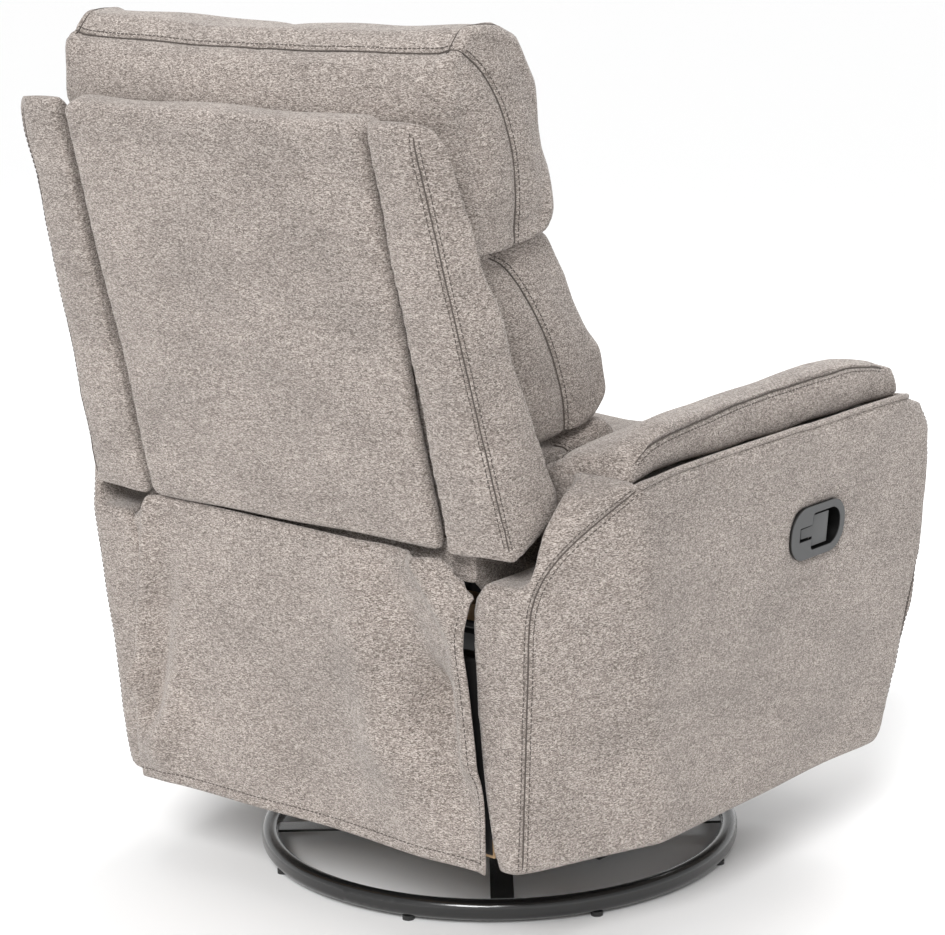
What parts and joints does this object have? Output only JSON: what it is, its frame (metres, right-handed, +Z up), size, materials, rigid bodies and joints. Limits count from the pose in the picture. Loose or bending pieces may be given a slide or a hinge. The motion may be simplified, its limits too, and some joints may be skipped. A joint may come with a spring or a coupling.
{
  "type": "swivel glider recliner chair",
  "caption": "Upholstered nursery glider: pillow-back recliner with wings, arms, pop-out footrest, pull handle and loose rear dust flap on a round swivel base.",
  "frame": {"origin": "on the floor, at the centre of the whole chair's footprint; the swivel axis stands 55 mm in front of it", "axes": "+Z up, the sitter faces -Y, +X at the sitter's left"},
  "size_m": [0.8096, 0.7984, 1.023],
  "materials": {
    "upholstery": "woven chenille tweed, warm grey taupe",
    "base_black": "gloss black paint",
    "mechanism_steel": "satin black paint",
    "bright_steel": "zinc plated",
    "frame_wood": "raw plywood and pine",
    "foot_plastic": "moulded black",
    "handle_plastic": "fine grained dark grey"
  },
  "bodies": {
    "base": {"base_ring": "base_black", "cross_bars": "base_black", "hub_plate": "base_black", "glide_feet": "foot_plastic", "lower_race": "bright_steel", "bearing_balls": "bright_steel", "king_bolt": "base_black"},
    "swivel": {"upper_race": "bright_steel", "swivel_plate": "mechanism_steel", "stand_left": "mechanism_steel", "stand_right": "mechanism_steel", "stand_spreaders": "mechanism_steel", "hanger_pins": "bright_steel"},
    "link_front_right": {"glide_link_front_right": "mechanism_steel"},
    "link_front_left": {"glide_link_front_left": "mechanism_steel"},
    "link_rear_right": {"glide_link_rear_right": "mechanism_steel"},
    "link_rear_left": {"glide_link_rear_left": "mechanism_steel"},
    "chassis": {"glider_rail_left": "mechanism_steel", "glider_rail_right": "mechanism_steel", "carrier_pins": "bright_steel", "cross_tube_front": "mechanism_steel", "cross_tube_rear": "mechanism_steel", "mech_plate_left": "mechanism_steel", "mech_plate_right": "mechanism_steel", "arm_board_left": "frame_wood", "arm_board_right": "frame_wood", "seat_side_rails": "frame_wood", "seat_rail_front": "frame_wood", "seat_rail_rear": "frame_wood", "rear_rail": "frame_wood", "seat_springs": "bright_steel", "seat_cushion": "upholstery", "arm_left": "upholstery", "arm_right": "upholstery", "arm_pad_left": "upholstery", "arm_pad_right": "upholstery", "handle_bezel": "handle_plastic", "handle_pin": "bright_steel", "handle_spring": "bright_steel", "back_curtain": "upholstery", "recline_pins": "bright_steel"},
    "paddle": {"handle_paddle": "handle_plastic"},
    "backrest": {"back_bracket_left": "mechanism_steel", "back_bracket_right": "mechanism_steel", "back_rail": "frame_wood", "back_board": "frame_wood", "back_panel": "upholstery", "wing_left": "upholstery", "wing_right": "upholstery", "headrest_pillow": "upholstery", "middle_pillow": "upholstery", "lower_pillow": "upholstery"},
    "foot_lift": {"lift_tube": "mechanism_steel", "foot_rear_links": "mechanism_steel", "foot_elbow_pins": "bright_steel"},
    "foot_front": {"foot_front_links": "mechanism_steel"},
    "footrest": {"foot_brackets": "mechanism_steel", "foot_hinge_pins": "bright_steel", "foot_board": "frame_wood", "foot_pad": "upholstery"}
  },
  "joints": [
    {"name": "base_swivel", "type": "hinge", "parent": "base", "child": "swivel", "pos_m": [0, -0.055, 0.031], "axis": [0, 0, 1], "continuous": true},
    {"name": "glide", "type": "hinge", "parent": "swivel", "child": "link_front_right", "pos_m": [-0.206, -0.16, 0.31], "axis": [1, 0, 0], "range_deg": [-15, 15]},
    {"name": "glide_level", "type": "hinge", "parent": "link_front_right", "child": "chassis", "pos_m": [-0.206, -0.16, 0.165], "axis": [1, 0, 0], "range_deg": [-16, 16]},
    {"name": "glide_link_front_left_turn", "type": "hinge", "parent": "swivel", "child": "link_front_left", "pos_m": [0.206, -0.16, 0.31], "axis": [1, 0, 0], "range_deg": [-16, 16]},
    {"name": "glide_link_rear_right_turn", "type": "hinge", "parent": "swivel", "child": "link_rear_right", "pos_m": [-0.206, 0.05, 0.31], "axis": [1, 0, 0], "range_deg": [-16, 16]},
    {"name": "glide_link_rear_left_turn", "type": "hinge", "parent": "swivel", "child": "link_rear_left", "pos_m": [0.206, 0.05, 0.31], "axis": [1, 0, 0], "range_deg": [-16, 16]},
    {"name": "recline", "type": "hinge", "parent": "chassis", "child": "backrest", "pos_m": [0, 0.145, 0.335], "axis": [-1, 0, 0], "range_deg": [0, 30], "deforming": ["back_curtain"]},
    {"name": "footrest_lift", "type": "hinge", "parent": "chassis", "child": "foot_lift", "pos_m": [0, -0.285, 0.305], "axis": [-1, 0, 0], "range_deg": [0, 80]},
    {"name": "footrest_knee", "type": "hinge", "parent": "foot_lift", "child": "foot_front", "pos_m": [0, -0.285, 0.145], "axis": [-1, 0, 0], "range_deg": [-151, 0]},
    {"name": "footrest_tilt", "type": "hinge", "parent": "foot_front", "child": "footrest", "pos_m": [0, -0.285, 0.275], "axis": [-1, 0, 0], "range_deg": [0, 161]},
    {"name": "handle_pull", "type": "hinge", "parent": "chassis", "child": "paddle", "pos_m": [-0.3888, -0.123, 0.42845], "axis": [0.0975, 0, -0.9952], "range_deg": [0, 30], "stiffness_Nm_per_rad": 0.1, "springref_deg": -5.73}
  ],
  "couplings": [
    {"joint": "glide_level", "follows": "glide", "ratio": -1},
    {"joint": "glide_link_front_left_turn", "follows": "glide", "ratio": 1},
    {"joint": "glide_link_rear_right_turn", "follows": "glide", "ratio": 1},
    {"joint": "glide_link_rear_left_turn", "follows": "glide", "ratio": 1},
    {"joint": "footrest_knee", "follows": "footrest_lift", "ratio": -1.875},
    {"joint": "footrest_tilt", "follows": "footrest_lift", "ratio": 2}
  ]
}
